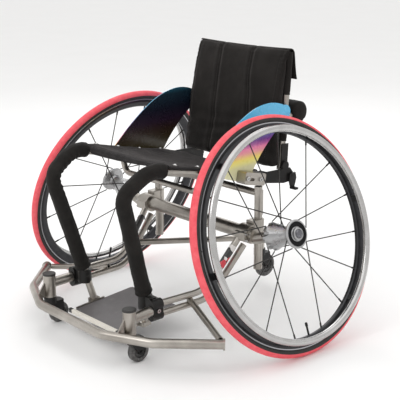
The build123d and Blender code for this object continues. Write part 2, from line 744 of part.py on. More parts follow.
# Anti-tip caster behind the seat ----------------------------------------------------------------
TAIL_HOUSING = (126.0, 172.0)
tail_core = drum(0, TAIL_Y, TAIL_HOUSING[0], TAIL_HOUSING[1], 15)
lower_cores = both_sides(under_core)
with BuildPart() as tail_frame:
    add(tube([at(0, 6, 272), at(0, TAIL_Y, 150)], 11, 1.8))
    add(tube([at(-185, -88, 176), at(0, TAIL_Y, 160)], LOWER_R, 1.5))
    add(tail_core)
    add(axle_core, mode=Mode.SUBTRACT)
    add(lower_cores, mode=Mode.SUBTRACT)
    add(both_sides(upper_core), mode=Mode.SUBTRACT)
    add(drum(0, TAIL_Y, TAIL_HOUSING[0] - 1, TAIL_HOUSING[1] + 1, STEM_R + RUNNING), mode=Mode.SUBTRACT)
tail_solid = tail_frame.part.solids().sort_by(SortBy.VOLUME)[-1]
save(tail_solid, "tail_frame")
tail_fork = fork(
    0, TAIL_Y, TAIL_TRAIL, TAIL_WHEEL_Z, TAIL_R, TAIL_HOUSING[0] - 0.5, TAIL_HOUSING[1] - 1, STEM_R
)
save(tail_fork, "tail_fork")
save(roller(0, TAIL_Y + TAIL_TRAIL, TAIL_WHEEL_Z, 21, TAIL_R, 19), "tail_tyre")
save(roller(0, TAIL_Y + TAIL_TRAIL, TAIL_WHEEL_Z, 4.05, 20.95, 17), "tail_hub")

# Backrest ---------------------------------------------------------------------------------------
cane_low = at(RAIL_X, back_y(424), 424)
cane_high = at(RAIL_X, back_y(CANE_TOP), CANE_TOP)
back_dir = (cane_high - cane_low).normalized()
PIVOT_PIN_R = 4.0
ARM_IN = 188.6
ARM_THICK = 6.5
LEVER_PIVOT = (190.0, 405.0)
LEVER_PIN_R = 3.0
LEVER_IN = ARM_IN + ARM_THICK + 0.4
LEVER_THICK = 6.0
pivot_at = (AXLE_Y + BACK_PIVOT[0], BACK_PIVOT[1])


def cross_pin(low_x, high_x, y, z, radius):
    """A round bar along X, y from the axle line."""
    with BuildPart() as made:
        with BuildSketch(Plane.YZ.offset(low_x)):
            with Locations((AXLE_Y + y, z)):
                Circle(radius)
        extrude(amount=high_x - low_x)
    return made.part


with BuildPart() as back_cane:
    add(tube([cane_low, cane_high], CANE_R, 1.6))
    # The foot plug is solid, so that the pivot pin has a bore to turn in.
    add(rod([cane_low, cane_low + back_dir * 32], CANE_R))
    pin_bore = cross_pin(
        RAIL_X - 20, RAIL_X + 20, BACK_PIVOT[0], BACK_PIVOT[1], PIVOT_PIN_R + RUNNING
    )
    add(pin_bore, mode=Mode.SUBTRACT)
save(both_sides(back_cane.part), "back_canes")

with BuildPart() as cane_clamp:
    with BuildSketch(Plane.YZ.offset(RAIL_X + CANE_R + 0.1)):
        with BuildLine():
            Polyline(
                (pivot_at[0] - 13, 430),
                (pivot_at[0] - 9, 498),
                (pivot_at[0] + 17, 498),
                (pivot_at[0] + 13, 430),
                close=True,
            )
        make_face()
        with Locations(pivot_at):
            Circle(13)
            Circle(PIVOT_PIN_R + RUNNING, mode=Mode.SUBTRACT)
    extrude(amount=3.6)
save(both_sides(cane_clamp.part), "cane_clamps")

with BuildPart() as back_bracket:
    with BuildSketch(Plane.YZ.offset(ARM_IN)):
        with BuildLine():
            Polyline(
                (AXLE_Y + 88, rail_z(88) - 15),
                (AXLE_Y + 88, rail_z(88) + 15),
                (AXLE_Y + 150, 429),
                (AXLE_Y + 186, 429),
                (AXLE_Y + 203, 408),
                (AXLE_Y + 192, 390),
                (AXLE_Y + 160, 388),
                close=True,
            )
        make_face()
        with Locations(pivot_at):
            Circle(13)
    extrude(amount=ARM_THICK)
    with BuildSketch(Plane.YZ.offset(RAIL_X - RAIL_R)):
        with Locations((AXLE_Y + 96, rail_z(96))):
            RectangleRounded(16, 30, 3)
    extrude(amount=ARM_IN - RAIL_X + RAIL_R + 1)
    # A plug joins it to the open end of the rail.
    add(rod([rail_end + rail_back * 11, rail_end - rail_back * 25], RAIL_R - RAIL_WALL - 0.05))
    # The pivot pin is fixed in the arm and reaches through the clamp and the cane.
    add(cross_pin(RAIL_X - CANE_R - 2, ARM_IN + 1, BACK_PIVOT[0], BACK_PIVOT[1], PIVOT_PIN_R))
    add(cross_pin(ARM_IN + 1, LEVER_IN + LEVER_THICK + 1, *LEVER_PIVOT, LEVER_PIN_R))
save(both_sides(back_bracket.part), "back_brackets")


with BuildPart() as back_lever:
    with BuildSketch(Plane.YZ.offset(LEVER_IN)):
        with BuildLine():
            Polyline(
                (AXLE_Y + 180, 412),
                (AXLE_Y + 202, 414),
                (AXLE_Y + 206, 398),
                (AXLE_Y + 197, 367),
                (AXLE_Y + 187, 367),
                (AXLE_Y + 178, 396),
                close=True,
            )
        make_face()
        with Locations((AXLE_Y + LEVER_PIVOT[0], LEVER_PIVOT[1])):
            Circle(LEVER_PIN_R + RUNNING, mode=Mode.SUBTRACT)
    extrude(amount=LEVER_THICK)
    with BuildSketch(Plane.YZ.offset(LEVER_IN)):
        with Locations((AXLE_Y + 192, 370)):
            SlotOverall(15, 7)
    extrude(amount=20)
save_pair(back_lever.part, "back_lever")

# The push bar, padded, between the canes.
PUSH_BAR = (236.0, 580.0)
PUSH_ROLL_R = 31.0
PUSH_HALF = 188.0
push_arm = rod([at(RAIL_X, back_y(566), 566), at(RAIL_X - 6, PUSH_BAR[0], PUSH_BAR[1])], 9)
with BuildPart() as push_bar:
    add(push_arm)
    add(rod([at(0, *PUSH_BAR), at(PUSH_HALF - 6, *PUSH_BAR)], 11))
    mirror(about=Plane.YZ)
    add(both_sides(rod([cane_low, cane_high], CANE_R + 0.05)), mode=Mode.SUBTRACT)
push_solid = push_bar.part.solids().sort_by(SortBy.VOLUME)[-1]
save(push_solid, "push_bar")

with BuildPart() as push_bar_pad:
    with BuildSketch(Plane.YZ.offset(-PUSH_HALF)):
        with Locations((AXLE_Y + PUSH_BAR[0], PUSH_BAR[1])):
            Circle(PUSH_ROLL_R)
    extrude(amount=2 * PUSH_HALF)
    fillet(push_bar_pad.edges().filter_by(GeomType.CIRCLE), 9)
    add(push_solid, mode=Mode.SUBTRACT)
save(push_bar_pad.part, "push_bar_pad")

# The back is a thick cushion ahead of the canes, sleeves round them, and a flap that folds over
# the top and hangs behind. Between the sleeves a band of each cane stays bare.
CUSHION_HALF = 184.3
SLEEVE_R = 12.0
SLEEVES = ((505, 598), (634, 754))
CUSHION_FRONT = [(110, 441), (118, 487), (130, 557), (142, 623), (157, 682), (175, 741), (184, 757)]
FLAP = [(192, 761), (200, 758), (207, 742), (217, 679), (209, 677), (200, 726), (196, 746)]
with BuildPart() as back_upholstery:
    with BuildSketch(Plane.YZ.offset(-CUSHION_HALF)):
        with BuildLine():
            outline = CUSHION_FRONT + FLAP + [(back_y(746) - 11.2, 746), (back_y(441) - 11.2, 441)]
            Polyline(*[(AXLE_Y + y, z) for y, z in outline], close=True)
        make_face()
    extrude(amount=2 * CUSHION_HALF)
    for side in (-1, 1):
        for low, high in SLEEVES:
            ends = [at(side * RAIL_X, back_y(z), z) for z in (low, high)]
            with BuildSketch(Plane(origin=ends[0], z_dir=ends[1] - ends[0])):
                Circle(SLEEVE_R)
            extrude(amount=(ends[1] - ends[0]).length)
    add(both_sides(rod([cane_low, cane_high + back_dir * 0.5], CANE_R + 0.05)), mode=Mode.SUBTRACT)
    add(both_sides(push_arm), mode=Mode.SUBTRACT)
save(back_upholstery.part, "back_upholstery")

# Bolt heads on the frame ------------------------------------------------------------------------
HEADS = [
    (Plane(origin=at(CLAMP_OUT, -25.5, 267), z_dir=(1, 0, 0)), 4),
    (Plane(origin=at(CLAMP_OUT, -25.5, 285), z_dir=(1, 0, 0)), 4),
    (Plane(origin=at(BRACKET_OUT, 36, rail_z(36)), z_dir=(1, 0, 0)), 6),
    (Plane(origin=at(BRACKET_OUT, -12, rail_z(-12)), z_dir=(1, 0, 0)), 6),
    (Plane(origin=at(GUARD_IN + GUARD_THICK, -100, rail_z(-100)), z_dir=(1, 0, 0)), 6),
    (Plane(origin=at(191.5, -298, 124.5), z_dir=(1, 0, 0)), 5.5),
]
with BuildPart() as frame_bolts:
    for face, head_r in HEADS:
        with BuildSketch(face.offset(0.02)):
            Circle(head_r)
        extrude(amount=4.5)
        with BuildSketch(face.offset(2)):
            RegularPolygon(head_r * 0.55, 6)
        extrude(amount=4, mode=Mode.SUBTRACT)
    mirror(about=Plane.YZ)
save(frame_bolts.part, "frame_bolts")
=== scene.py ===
import math

import bmesh
import bpy
from mathutils import Matrix, Vector, noise
from mathutils.bvhtree import BVHTree


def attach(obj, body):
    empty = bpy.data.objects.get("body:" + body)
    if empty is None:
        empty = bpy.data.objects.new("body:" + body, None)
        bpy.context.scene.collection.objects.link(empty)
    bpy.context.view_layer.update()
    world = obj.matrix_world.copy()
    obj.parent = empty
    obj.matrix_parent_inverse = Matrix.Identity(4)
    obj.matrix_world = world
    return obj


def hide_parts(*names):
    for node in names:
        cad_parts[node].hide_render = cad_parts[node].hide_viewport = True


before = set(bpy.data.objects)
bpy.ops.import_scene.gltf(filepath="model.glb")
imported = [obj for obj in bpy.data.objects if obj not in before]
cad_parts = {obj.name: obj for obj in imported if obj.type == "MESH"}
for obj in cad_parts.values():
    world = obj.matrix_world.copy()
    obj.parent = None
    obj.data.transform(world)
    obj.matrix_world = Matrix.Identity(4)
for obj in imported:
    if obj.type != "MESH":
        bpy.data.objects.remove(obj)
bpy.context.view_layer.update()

# Dimensions that the looks share with the frame, in metres -------------------------------------
AXLE_Y = 0.06925
CAMBER = math.radians(17.35)
COS_C, SIN_C = math.cos(CAMBER), math.sin(CAMBER)
HUB = Vector((0.359, AXLE_Y, (0.32 - 0.0125) * COS_C + 0.0125))
AXIS = Vector((COS_C, 0, SIN_C))
RAIL_FRONT = (-0.240 + AXLE_Y, 0.484)
RAIL_SLOPE = 0.21
RAIL_X = 0.174
BACK_PIVOT = Vector((0, 0.168 + AXLE_Y, 0.437))
BACK_DIR = Vector((0, 0.086, 1)).normalized()
BACK_OUT = Vector((0, 1, -0.086)).normalized()


def at(x, y, z):
    """A point in metres from millimetres, with y counted from the axle line."""
    return Vector((x / 1000, y / 1000 + AXLE_Y, z / 1000))


def rail_z(y):
    """Height of the seat rail's axis at a y of the row frame."""
    return RAIL_FRONT[1] - RAIL_SLOPE * (y - RAIL_FRONT[0])


def smooth(t):
    t = min(max(t, 0.0), 1.0)
    return t * t * (3 - 2 * t)


# Material building blocks -----------------------------------------------------------------------
class Shade:
    """A node material under construction, with short names for the nodes it uses."""

    def __init__(self, name, **sockets):
        self.material = bpy.data.materials.new(name)
        self.material.use_nodes = True
        self.tree = self.material.node_tree
        self.tree.nodes.clear()
        self.out = self.add("ShaderNodeOutputMaterial")
        self.bsdf = self.add("ShaderNodeBsdfPrincipled")
        self.join(self.bsdf.outputs[0], self.out.inputs["Surface"])
        for key, value in sockets.items():
            self.bsdf.inputs[key.replace("_", " ")].default_value = value
        self.where = self.add("ShaderNodeTexCoord").outputs["Object"]

    def add(self, kind, **settings):
        node = self.tree.nodes.new(kind)
        for key, value in settings.items():
            setattr(node, key, value)
        return node

    def join(self, source, target):
        if isinstance(source, (int, float)):
            target.default_value = source
        elif isinstance(source, tuple):
            target.default_value = source if len(source) == len(target.default_value) else (*source, 1)
        else:
            self.tree.links.new(source, target)

    def math(self, operation, a, b=0.0, clamp=False):
        node = self.add("ShaderNodeMath", operation=operation, use_clamp=clamp)
        self.join(a, node.inputs[0])
        self.join(b, node.inputs[1])
        return node.outputs[0]

    def vector(self, operation, a, b=None):
        node = self.add("ShaderNodeVectorMath", operation=operation)
        self.join(a, node.inputs[0])
        if b is not None:
            self.join(b, node.inputs[1])
        return node.outputs["Value" if operation in ("DOT_PRODUCT", "LENGTH") else "Vector"]

    def split(self, source=None):
        node = self.add("ShaderNodeSeparateXYZ")
        self.join(source or self.where, node.inputs[0])
        return node.outputs

    def scaled(self, x, y, z, source=None):
        return self.vector("MULTIPLY", source or self.where, (x, y, z))

    def noise(self, scale, detail=3.0, rough=0.5, source=None):
        node = self.add("ShaderNodeTexNoise")
        node.inputs["Scale"].default_value = scale
        node.inputs["Detail"].default_value = detail
        node.inputs["Roughness"].default_value = rough
        self.join(source or self.where, node.inputs["Vector"])
        return node.outputs["Fac"]

    def cells(self, scale, feature="F1", source=None):
        node = self.add("ShaderNodeTexVoronoi", feature=feature)
        node.inputs["Scale"].default_value = scale
        self.join(source or self.where, node.inputs["Vector"])
        return node.outputs["Distance"]

    def ramp(self, fac, stops, interpolation="LINEAR"):
        node = self.add("ShaderNodeValToRGB")
        node.color_ramp.interpolation = interpolation
        elements = node.color_ramp.elements
        while len(elements) < len(stops):
            elements.new(0.5)
        for element, (place, colour) in zip(elements, stops):
            element.position = place
            element.color = (*colour, 1) if len(colour) == 3 else colour
        self.join(fac, node.inputs[0])
        return node.outputs[0]

    def step(self, value, low, high):
        """0 below low, 1 above high, smooth between."""
        node = self.add("ShaderNodeMapRange", interpolation_type="SMOOTHSTEP")
        self.join(value, node.inputs["Value"])
        node.inputs["From Min"].default_value = low
        node.inputs["From Max"].default_value = high
        return node.outputs["Result"]

    def span(self, value, low, high):
        """Maps 0 to 1 onto low to high."""
        return self.math("ADD", self.math("MULTIPLY", value, high - low), low)

    def mix(self, fac, a, b):
        node = self.add("ShaderNodeMix", data_type="RGBA")
        self.join(fac, node.inputs[0])
        self.join(a, node.inputs[6])
        self.join(b, node.inputs[7])
        return node.outputs[2]

    def colour(self, source):
        self.join(source, self.bsdf.inputs["Base Color"])

    def rough(self, source):
        self.join(source, self.bsdf.inputs["Roughness"])

    def metal(self, source):
        self.join(source, self.bsdf.inputs["Metallic"])

    def bump(self, height, distance, strength=1.0, under=None):
        node = self.add("ShaderNodeBump")
        node.inputs["Distance"].default_value = distance
        node.inputs["Strength"].default_value = strength
        self.join(height, node.inputs["Height"])
        if under is not None:
            self.join(under, node.inputs["Normal"])
        self.join(node.outputs[0], self.bsdf.inputs["Normal"])
        return node.outputs[0]


def wheel_parts(shade):
    """(radius, distance out along the axle, angle) of a point, for either main wheel."""
    folded = shade.vector("ABSOLUTE", shade.where)
    # y has a sign, so it is taken from the unfolded position.
    x, _, z = shade.split(folded)[:3]
    y = shade.split()[1]
    both = shade.add("ShaderNodeCombineXYZ")
    shade.join(x, both.inputs[0])
    shade.join(y, both.inputs[1])
    shade.join(z, both.inputs[2])
    offset = shade.vector("SUBTRACT", both.outputs[0], tuple(HUB))
    out = shade.vector("DOT_PRODUCT", offset, tuple(AXIS))
    ahead = shade.vector("DOT_PRODUCT", offset, (0.0, -1.0, 0.0))
    up = shade.vector("DOT_PRODUCT", offset, (-SIN_C, 0.0, COS_C))
    radius = shade.math(
        "SQRT", shade.math("ADD", shade.math("MULTIPLY", ahead, ahead), shade.math("MULTIPLY", up, up))
    )
    return radius, out, shade.math("ARCTAN2", up, ahead)


# Materials --------------------------------------------------------------------------------------
def brushed_metal():
    """Bare warm grey tube, with fine brushing, handling marks and slight tarnish."""
    m = Shade("bare_tube", Metallic=1.0)
    tarnish = m.noise(9, 5, 0.6)
    brush = m.noise(60, 3, 0.6, m.scaled(1, 14, 14))
    fine = m.noise(700, 2, 0.5)
    m.colour(m.mix(m.step(tarnish, 0.3, 0.75), (0.33, 0.305, 0.275), (0.50, 0.47, 0.43)))
    m.rough(m.span(brush, 0.20, 0.42))
    m.bump(m.math("ADD", m.math("MULTIPLY", brush, 0.5), fine), 0.00006, 0.5)
    return m.material


def polished_alloy():
    m = Shade("polished_alloy", Metallic=1.0)
    smear = m.noise(30, 4, 0.6)
    scratch = m.noise(260, 2, 0.7, m.scaled(1, 0.1, 1))
    m.colour(m.mix(smear, (0.38, 0.375, 0.37), (0.60, 0.595, 0.59)))
    m.rough(m.span(m.math("MULTIPLY", smear, scratch), 0.12, 0.34))
    m.bump(scratch, 0.00003, 0.5)
    return m.material


def hub_metal():
    """Machined alloy: fine turning lines round the axle."""
    m = Shade("turned_alloy", Metallic=1.0)
    radius, out, _ = wheel_parts(m)
    lines = m.math("SINE", m.math("MULTIPLY", m.math("ADD", radius, out), 9000))
    haze = m.noise(60, 3)
    alloy = m.mix(haze, (0.33, 0.33, 0.335), (0.52, 0.52, 0.525))
    # A ring of the outer face, between a bright edge and a bright boss, is painted near black: painted
    # shade standing in for a recess.
    recess_shade = m.math("MULTIPLY", m.step(radius, 0.0195, 0.0205), m.step(radius, 0.0335, 0.0325))
    recess_shade = m.math("MULTIPLY", recess_shade, m.step(out, 0.037, 0.038))
    m.colour(m.mix(recess_shade, alloy, (0.02, 0.02, 0.021)))
    m.rough(m.span(haze, 0.2, 0.38))
    m.bump(lines, 0.00002, 0.6)
    return m.material


def spoke_metal():
    m = Shade("spoke_steel", Metallic=1.0)
    haze = m.noise(120, 3)
    m.colour(m.mix(haze, (0.035, 0.033, 0.033), (0.08, 0.077, 0.075)))
    m.rough(m.span(haze, 0.28, 0.42))
    m.bump(m.noise(900, 2), 0.00003, 0.4)
    return m.material


def dark_chrome():
    m = Shade("dark_chrome", Metallic=1.0)
    haze = m.noise(90, 3)
    m.colour(m.mix(haze, (0.10, 0.10, 0.11), (0.22, 0.22, 0.24)))
    m.rough(m.span(haze, 0.08, 0.22))
    m.bump(m.noise(1200, 2), 0.00002, 0.3)
    return m.material


def black_alloy():
    """Black anodised metal, rubbed a little paler where hands and shoes touch it."""
    m = Shade("black_anodised", Metallic=0.5)
    worn = m.step(m.noise(38, 5, 0.65), 0.58, 0.74)
    m.colour(m.mix(worn, (0.016, 0.0155, 0.015), (0.06, 0.057, 0.053)))
    m.rough(m.span(m.noise(160, 3), 0.32, 0.5))
    m.bump(m.noise(1500, 2), 0.00003, 0.6)
    return m.material


def tyre_rubber():
    """A red file-textured tread over black sidewalls with moulded rings."""
    m = Shade("tyre_rubber")
    radius, out, angle = wheel_parts(m)
    across = m.math("DIVIDE", out, 0.0125)
    ragged = m.math("MULTIPLY", m.math("SUBTRACT", m.noise(90, 3), 0.5), 0.0004)
    tread = m.step(m.math("ADD", radius, ragged), 0.3094, 0.3098)
    dust = m.noise(55, 5, 0.7)
    red = m.mix(m.step(dust, 0.25, 0.8), (0.80, 0.068, 0.095), (0.90, 0.145, 0.17))
    black = m.mix(dust, (0.013, 0.0115, 0.010), (0.034, 0.031, 0.029))
    m.colour(m.mix(tread, black, red))
    m.rough(m.span(dust, 0.52, 0.72))
    turn = m.math("MULTIPLY", angle, 900)
    lean = m.math("MULTIPLY", across, 9)
    one = m.math("SINE", m.math("ADD", turn, lean))
    two = m.math("SINE", m.math("SUBTRACT", turn, lean))
    file = m.math("MULTIPLY", m.math("MAXIMUM", one, two), tread)
    rings = m.math("SINE", m.math("MULTIPLY", radius, 6500))
    side = m.math("MULTIPLY", rings, m.math("SUBTRACT", 1.0, tread))
    m.bump(m.math("ADD", file, m.math("MULTIPLY", side, 0.4)), 0.00022, 0.8)
    return m.material


def rim_metal():
    """Dark anodised rim, with a thin pale band beside the tyre that is a painted highlight."""
    m = Shade("rim_dark", Metallic=0.85)
    radius, _, _ = wheel_parts(m)
    # Painted highlight: a thin pale metal band next to the tyre.
    edge = m.step(radius, 0.2953, 0.2958)
    scuff = m.noise(45, 4, 0.65)
    m.colour(m.mix(edge, m.mix(scuff, (0.028, 0.028, 0.030), (0.07, 0.07, 0.075)), (0.42, 0.42, 0.44)))
    m.rough(m.span(scuff, 0.2, 0.42))
    lines = m.math("SINE", m.math("MULTIPLY", radius, 14000))
    m.bump(m.math("MULTIPLY", lines, edge), 0.00002, 0.6)
    return m.material


def caster_rubber():
    m = Shade("caster_tyre")
    wear = m.noise(140, 5, 0.7)
    m.colour(m.mix(m.step(wear, 0.35, 0.75), (0.045, 0.044, 0.043), (0.17, 0.165, 0.16)))
    m.rough(m.span(wear, 0.5, 0.8))
    m.bump(m.noise(900, 3, 0.6), 0.0002, 0.7)
    return m.material


def moulded(name, dark, pale, low, high):
    """Moulded plastic with a fine spark texture."""
    m = Shade(name)
    haze = m.noise(70, 4, 0.6)
    m.colour(m.mix(haze, dark, pale))
    m.rough(m.span(haze, low, high))
    m.bump(m.cells(1600), 0.00006, 0.7)
    return m.material


def woven(name, dark, pale, pitch=0.0011, sheen=0.35):
    """Heavy nylon cloth: an over and under weave, faded a little where it is rubbed."""
    m = Shade(name, Sheen_Weight=sheen, Sheen_Roughness=0.45, Specular_IOR_Level=0.14)
    m.bsdf.inputs["Sheen Tint"].default_value = (0.75, 0.7, 0.68, 1)
    x, y, z = m.split()[:3]
    turns = 2 * math.pi / pitch
    along = m.math("MULTIPLY", m.math("ADD", z, m.math("MULTIPLY", y, 0.85)), turns)
    across = m.math("MULTIPLY", m.math("ADD", x, m.math("MULTIPLY", y, 0.12)), turns)
    weave = m.math("MULTIPLY", m.math("SINE", along), m.math("SINE", across))
    fuzz = m.noise(2500, 3, 0.6)
    rubbed = m.step(m.noise(14, 5, 0.6), 0.35, 0.8)
    # Painted shade: the colour darkens where the weave dips, between the threads.
    thread = m.math("ADD", m.math("MULTIPLY", weave, 0.22), 0.5, True)
    base = m.mix(rubbed, dark, pale)
    thread_gap_shade = m.mix(0.55, base, (0.004, 0.004, 0.004))
    m.colour(m.mix(thread, thread_gap_shade, base))
    m.rough(m.span(fuzz, 0.72, 0.95))
    height = m.math("ADD", m.math("MULTIPLY", weave, 0.8), m.math("MULTIPLY", fuzz, 0.5))
    m.bump(height, 0.00022, 0.75)
    return m.material


def foam_rubber():
    """Closed cell foam grip: faint pores and a dull, slightly dusty skin."""
    m = Shade("foam_sleeve", Sheen_Weight=0.05, Sheen_Roughness=0.5, Specular_IOR_Level=0.16)
    dust = m.noise(24, 5, 0.6)
    m.colour(m.mix(m.step(dust, 0.3, 0.8), (0.0095, 0.0085, 0.0077), (0.020, 0.018, 0.0165)))
    m.rough(m.span(dust, 0.74, 0.92))
    pores = m.cells(900)
    m.bump(m.math("ADD", pores, m.math("MULTIPLY", m.noise(180, 3), 0.6)), 0.00025, 0.8)
    return m.material


def guard_print():
    """Side guard: a banded print outside, and a much darker copy of the same bands on the face towards
    the sitter.
    """
    m = Shade("guard_print", Coat_Weight=0.35, Coat_Roughness=0.12)
    x, y, z = m.split()[:3]
    # The bands run a little uphill towards the back.
    height = m.math("SUBTRACT", z, m.math("MULTIPLY", m.math("SUBTRACT", y, AXLE_Y), 0.03))
    node = m.add("ShaderNodeMapRange")
    m.join(height, node.inputs["Value"])
    node.inputs["From Min"].default_value = 0.42
    node.inputs["From Max"].default_value = 0.62
    grain = m.math("MULTIPLY", m.math("SUBTRACT", m.noise(900, 1), 0.5), 0.03)
    fac = m.math("ADD", node.outputs["Result"], grain)
    outside = m.ramp(
        fac,
        [
            (0.09, (0.847, 0.815, 0.527)),
            (0.19, (0.815, 0.768, 0.434)),
            (0.245, (0.905, 0.815, 0.250)),
            (0.295, (0.947, 0.745, 0.133)),
            (0.375, (0.879, 0.323, 0.347)),
            (0.43, (0.863, 0.216, 0.413)),
            (0.47, (0.418, 0.091, 0.319)),
            (0.52, (0.171, 0.048, 0.266)),
            (0.70, (0.070, 0.280, 0.600)),
            (0.825, (0.100, 0.500, 0.800)),
        ],
    )
    inside = m.ramp(
        fac,
        [
            (0.00, (0.060, 0.050, 0.014)),
            (0.25, (0.042, 0.030, 0.010)),
            (0.42, (0.030, 0.014, 0.010)),
            (0.55, (0.022, 0.010, 0.026)),
            (0.72, (0.008, 0.010, 0.022)),
            (0.92, (0.010, 0.028, 0.045)),
            (1.00, (0.020, 0.110, 0.170)),
        ],
    )
    depth = m.math("ABSOLUTE", x)
    m.colour(m.mix(m.step(depth, 0.1905, 0.1912), inside, outside))
    m.rough(m.span(m.noise(35, 4), 0.2, 0.36))
    m.bump(m.noise(1200, 2), 0.00003, 0.4)
    return m.material


def wrap_print():
    """A generic black wrap with scattered red and pale flashes."""
    m = Shade("tube_wrap", Coat_Weight=0.4, Coat_Roughness=0.15)
    patch = m.add("ShaderNodeTexVoronoi")
    patch.inputs["Scale"].default_value = 60
    m.join(m.where, patch.inputs["Vector"])
    pick = m.split(patch.outputs["Color"])[0]
    paint = m.ramp(
        pick,
        [(0.0, (0.014, 0.013, 0.013)), (0.5, (0.62, 0.03, 0.05)), (0.78, (0.75, 0.72, 0.70))],
        "CONSTANT",
    )
    low = m.step(m.split()[2], 0.172, 0.178)
    m.colour(m.mix(low, (0.60, 0.03, 0.05), paint))
    m.rough(m.span(m.noise(80, 3), 0.25, 0.4))
    m.bump(patch.outputs["Distance"], 0.00005, 0.4)
    return m.material


def footplate_paint():
    """Dark hard-anodised plate with a fine speckle and pale scuffs from shoes."""
    m = Shade("footplate_speckle", Metallic=0.35)
    speck = m.step(m.cells(420), 0.16, 0.05)
    scuff = m.step(m.noise(26, 6, 0.7, m.scaled(1, 0.35, 1)), 0.60, 0.72)
    base = m.mix(m.noise(12, 3), (0.135, 0.128, 0.131), (0.190, 0.181, 0.185))
    worn = m.mix(scuff, base, (0.20, 0.195, 0.19))
    m.colour(m.mix(m.math("MULTIPLY", speck, 0.5), worn, (0.33, 0.32, 0.31)))
    m.rough(m.span(m.noise(90, 4), 0.42, 0.62))
    m.bump(m.noise(700, 4, 0.7), 0.0002, 0.7)
    return m.material


def edge_plastic():
    """The footplate's pale front strip, with black ends."""
    m = Shade("edge_strip")
    ends = m.step(m.math("ABSOLUTE", m.split()[0]), 0.1015, 0.1022)
    grime = m.noise(60, 5, 0.65)
    pale = m.mix(grime, (0.72, 0.68, 0.60), (0.82, 0.79, 0.72))
    m.colour(m.mix(ends, pale, (0.016, 0.015, 0.015)))
    m.rough(m.span(grime, 0.35, 0.55))
    m.bump(m.noise(900, 2), 0.00005, 0.6)
    return m.material


METAL = brushed_metal()
POLISHED = polished_alloy()
HUB_METAL = hub_metal()
SPOKE = spoke_metal()
CHROME = dark_chrome()
BLACK = black_alloy()
TYRE = tyre_rubber()
RIM = rim_metal()
CASTER = caster_rubber()
CASTER_CORE = moulded("caster_core", (0.03, 0.03, 0.03), (0.065, 0.063, 0.06), 0.35, 0.55)
BLACK_PLASTIC = moulded("black_plastic", (0.016, 0.015, 0.015), (0.035, 0.033, 0.031), 0.4, 0.6)
SEAT_CLOTH = woven("seat_nylon", (0.021, 0.019, 0.020), (0.040, 0.037, 0.038), sheen=0.16)
BACK_CLOTH = woven("back_nylon", (0.014, 0.012, 0.011), (0.026, 0.023, 0.021), 0.0012, 0.12)
FOAM = foam_rubber()
GUARD = guard_print()
WRAP = wrap_print()
FOOTPLATE = footplate_paint()
EDGE = edge_plastic()
THREAD = moulded("thread", (0.05, 0.047, 0.045), (0.085, 0.08, 0.076), 0.6, 0.8)

FINISHES = {
    "tyre": TYRE,
    "rim": RIM,
    "rim_fittings": BLACK,
    "spokes": SPOKE,
    "hub_shell": HUB_METAL,
    "hub_bearings": SPOKE,
    "handrim": POLISHED,
    "quick_release_axle": HUB_METAL,
    "axle_button": CHROME,
    "axle_tube": METAL,
    "camber_plugs": METAL,
    "axle_clamps": METAL,
    "side_frame": METAL,
    "seat_posts": METAL,
    "post_brackets": METAL,
    "cross_tubes": METAL,
    "lower_rails": METAL,
    "rail_wraps": WRAP,
    "footrest_tubes": METAL,
    "leg_clamps": BLACK,
    "wing_tube": METAL,
    "wing_braces": METAL,
    "caster_housings": METAL,
    "housing_caps": BLACK_PLASTIC,
    "caster_fork": BLACK,
    "caster_tyre": CASTER,
    "caster_hub": CASTER_CORE,
    "footplate": FOOTPLATE,
    "footplate_edge": EDGE,
    "footplate_hangers": METAL,
    "side_guards": GUARD,
    "tail_frame": METAL,
    "tail_fork": BLACK,
    "tail_tyre": CASTER,
    "tail_hub": CASTER_CORE,
    "back_canes": METAL,
    "cane_clamps": BLACK,
    "back_brackets": BLACK,
    "back_lever": BLACK,
    "push_bar": METAL,
    "frame_bolts": POLISHED,
}

for name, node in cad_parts.items():
    kind = name.removesuffix("_left").removesuffix("_right")
    if kind in FINISHES:
        node.data.materials.clear()
        node.data.materials.append(FINISHES[kind])


# Mesh helpers -----------------------------------------------------------------------------------
def new_object(name, vertices, faces, material, body, nodes=()):
    """A smooth mesh piece on a body, standing for CAD nodes."""
    mesh = bpy.data.meshes.new(name)
    mesh.from_pydata([tuple(v) for v in vertices], [], faces)
    mesh.validate()
    made = bmesh.new()
    made.from_mesh(mesh)
    bmesh.ops.recalc_face_normals(made, faces=made.faces)
    made.to_mesh(mesh)
    made.free()
    mesh.materials.append(material)
    for polygon in mesh.polygons:
        polygon.use_smooth = True
    piece = bpy.data.objects.new(name, mesh)
    bpy.context.scene.collection.objects.link(piece)
    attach(piece, body)
    if nodes:
        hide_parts(*nodes)
    return piece


def rings_to_faces(rings, count):
    """Quads between neighbouring closed rings of count points."""
    faces = []
    for ring in range(rings - 1):
        for step in range(count):
            a = ring * count + step
            b = ring * count + (step + 1) % count
            faces.append((a, b, b + count, a + count))
    return faces


def rounded_route(points, radii, spacing=0.006):
    """Points along straight runs with rounded corners."""
    route = []
    last = points[0]
    for corner, radius, ahead in zip(points[1:-1], radii, points[2:]):
        into = (last - corner).normalized()
        out = (ahead - corner).normalized()
        half = into.angle(out) / 2
        reach = radius / math.tan(half)
        start, end = corner + into * reach, corner + out * reach
        centre = corner + (into + out).normalized() * (radius / math.sin(half))
        route += straight(last, start, spacing)
        sweep = math.pi - 2 * half
        steps = max(3, round(radius * sweep / spacing))
        across = (start - centre).cross(end - centre).normalized()
        for step in range(steps):
            route.append(centre + Matrix.Rotation(sweep * step / steps, 3, across) @ (start - centre))
        last = end
    route += straight(last, points[-1], spacing)
    return route + [points[-1]]


def straight(a, b, spacing):
    steps = max(1, round((b - a).length / spacing))
    return [a.lerp(b, step / steps) for step in range(steps)]


